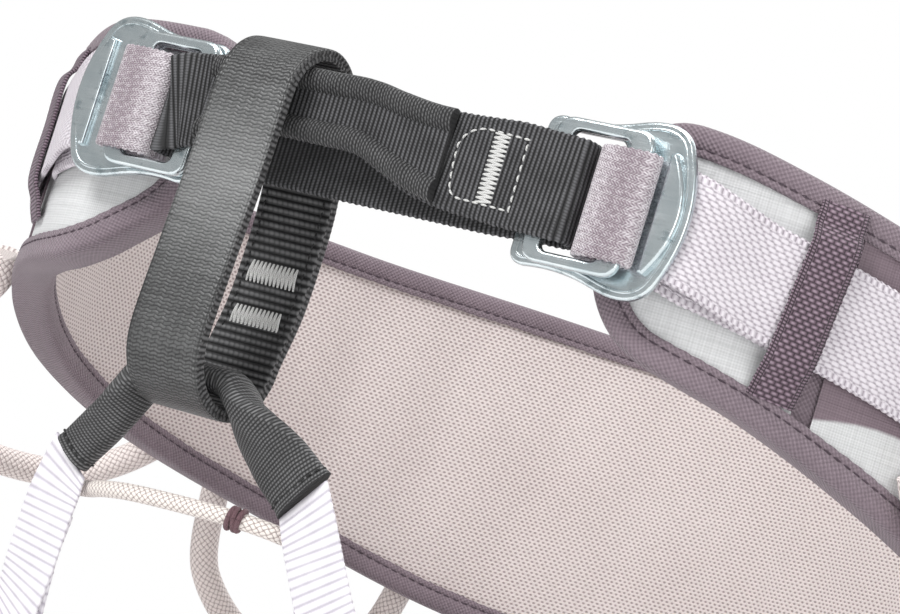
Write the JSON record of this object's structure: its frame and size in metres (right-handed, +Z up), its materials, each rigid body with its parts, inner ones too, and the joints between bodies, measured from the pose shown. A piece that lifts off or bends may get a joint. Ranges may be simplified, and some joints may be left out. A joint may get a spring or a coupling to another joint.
{
  "type": "climbing harness",
  "caption": "Adjustable climbing harness with padded waist belt, waist buckles, tie-in webbing, belay loop, leg loops and gear loops.",
  "frame": {"origin": "centre of the waist opening", "axes": "+Z up, +Y towards the wearer's back, +X towards the wearer's left"},
  "size_m": [0.3303, 0.2451, 0.2345],
  "materials": {
    "mauve_fabric": "matte twill",
    "light_webbing": "ribbed webbing",
    "dark_webbing": "ribbed webbing",
    "belay_webbing": "satin twill webbing",
    "ripstop": "fine grid weave",
    "mesh_fabric": "perforated mesh",
    "buckle_alloy": "satin, pressed",
    "foam": "closed-cell foam",
    "braid": "braided",
    "plastic": "moulded"
  },
  "bodies": {
    "waist_belt": {"waist_mesh_lining": "mesh_fabric", "waist_foam": "foam", "waist_shell": "mauve_fabric", "nose_panel_right": "ripstop", "nose_panel_left": "ripstop", "waist_binding": "mauve_fabric", "tie_in_webbing": "dark_webbing", "wear_guard": "dark_webbing", "bridge_cord": "braid", "waist_buckle_right_plate": "buckle_alloy", "waist_strap_right": "light_webbing", "waist_strap_tail_right": "light_webbing", "waist_keeper_right": "mauve_fabric", "riser_anchor_right": "mauve_fabric", "waist_buckle_left_plate": "buckle_alloy", "waist_strap_left": "light_webbing", "waist_strap_tail_left": "light_webbing", "waist_keeper_left": "mauve_fabric", "riser_anchor_left": "mauve_fabric"},
    "belay_loop": {"belay_loop": "belay_webbing"},
    "leg_bridge": {"bridge_sleeve": "dark_webbing"},
    "haul_loop": {"haul_loop": "dark_webbing"},
    "waist_frame_right": {"waist_buckle_right_frame": "buckle_alloy", "waist_strap_turn_right": "light_webbing"},
    "leg_loop_right": {"leg_foam_right": "mesh_fabric", "leg_shell_right": "mauve_fabric", "leg_binding_right": "mauve_fabric", "leg_strap_right": "light_webbing", "leg_strap_tail_right": "light_webbing", "leg_keeper_right": "mauve_fabric", "leg_web_right": "light_webbing", "leg_inner_strap_right": "light_webbing", "riser_hook_right": "plastic", "riser_elastic_right": "mauve_fabric", "leg_buckle_right_plate": "buckle_alloy"},
    "leg_frame_right": {"leg_buckle_right_frame": "buckle_alloy", "leg_strap_turn_right": "light_webbing"},
    "gear_loop_front_right": {"gear_loop_front_right": "braid"},
    "gear_loop_rear_right": {"gear_loop_rear_right": "braid"},
    "waist_frame_left": {"waist_buckle_left_frame": "buckle_alloy", "waist_strap_turn_left": "light_webbing"},
    "leg_loop_left": {"leg_foam_left": "mesh_fabric", "leg_shell_left": "mauve_fabric", "leg_binding_left": "mauve_fabric", "leg_strap_left": "light_webbing", "leg_strap_tail_left": "light_webbing", "leg_keeper_left": "mauve_fabric", "leg_web_left": "light_webbing", "leg_inner_strap_left": "light_webbing", "riser_hook_left": "plastic", "riser_elastic_left": "mauve_fabric", "leg_buckle_left_plate": "buckle_alloy"},
    "leg_frame_left": {"leg_buckle_left_frame": "buckle_alloy", "leg_strap_turn_left": "light_webbing"},
    "gear_loop_front_left": {"gear_loop_front_left": "braid"},
    "gear_loop_rear_left": {"gear_loop_rear_left": "braid"}
  },
  "joints": [
    {"name": "belay_loop_swing", "type": "hinge", "parent": "waist_belt", "child": "belay_loop", "pos_m": [-0.0208, -0.0999, 0.004], "axis": [1, 0, 0], "range_deg": [-18, 18]},
    {"name": "leg_bridge_swing", "type": "hinge", "parent": "belay_loop", "child": "leg_bridge", "pos_m": [-0.0208, -0.0996, -0.0493], "axis": [1, 0, 0], "range_deg": [-10, 10]},
    {"name": "haul_loop_fold", "type": "hinge", "parent": "waist_belt", "child": "haul_loop", "pos_m": [0, 0.1197, -0.045], "axis": [0, 0, 1], "range_deg": [-10, 10]},
    {"name": "waist_buckle_right_release", "type": "hinge", "parent": "waist_belt", "child": "waist_frame_right", "pos_m": [0.0487, -0.1014, -0.002], "axis": [0, 0, -1], "range_deg": [0, 6]},
    {"name": "leg_loop_right_lift", "type": "hinge", "parent": "waist_belt", "child": "leg_loop_right", "pos_m": [0.0128, -0.0985, -0.0765], "axis": [1, 0, 0], "range_deg": [0, 4]},
    {"name": "leg_buckle_right_release", "type": "hinge", "parent": "leg_loop_right", "child": "leg_frame_right", "pos_m": [0.06474, -0.0969, -0.13769], "axis": [-0.161, 0.0049, -0.9869], "range_deg": [0, 6]},
    {"name": "gear_loop_front_right_lift", "type": "hinge", "parent": "waist_belt", "child": "gear_loop_front_right", "pos_m": [0.12523, -0.00608, -0.0495], "axis": [-0.0964, -0.9506, 0.2952], "range_deg": [0, 30]},
    {"name": "gear_loop_rear_right_lift", "type": "hinge", "parent": "waist_belt", "child": "gear_loop_rear_right", "pos_m": [0.0993, 0.07983, -0.069], "axis": [0.708, -0.6947, 0.1269], "range_deg": [0, 30]},
    {"name": "waist_buckle_left_release", "type": "hinge", "parent": "waist_belt", "child": "waist_frame_left", "pos_m": [-0.0415, -0.1014, -0.0016], "axis": [0, 0, 1], "range_deg": [0, 6]},
    {"name": "leg_loop_left_lift", "type": "hinge", "parent": "waist_belt", "child": "leg_loop_left", "pos_m": [-0.0472, -0.0985, -0.0765], "axis": [1, 0, 0], "range_deg": [0, 4]},
    {"name": "leg_buckle_left_release", "type": "hinge", "parent": "leg_loop_left", "child": "leg_frame_left", "pos_m": [-0.06474, -0.0969, -0.13769], "axis": [-0.161, -0.0049, 0.9869], "range_deg": [0, 6]},
    {"name": "gear_loop_front_left_lift", "type": "hinge", "parent": "waist_belt", "child": "gear_loop_front_left", "pos_m": [-0.12485, -0.00509, -0.0505], "axis": [-0.0874, 0.9585, -0.2714], "range_deg": [0, 30]},
    {"name": "gear_loop_rear_left_lift", "type": "hinge", "parent": "waist_belt", "child": "gear_loop_rear_left", "pos_m": [-0.0993, 0.07983, -0.069], "axis": [0.708, 0.6947, -0.1269], "range_deg": [0, 30]}
  ]
}
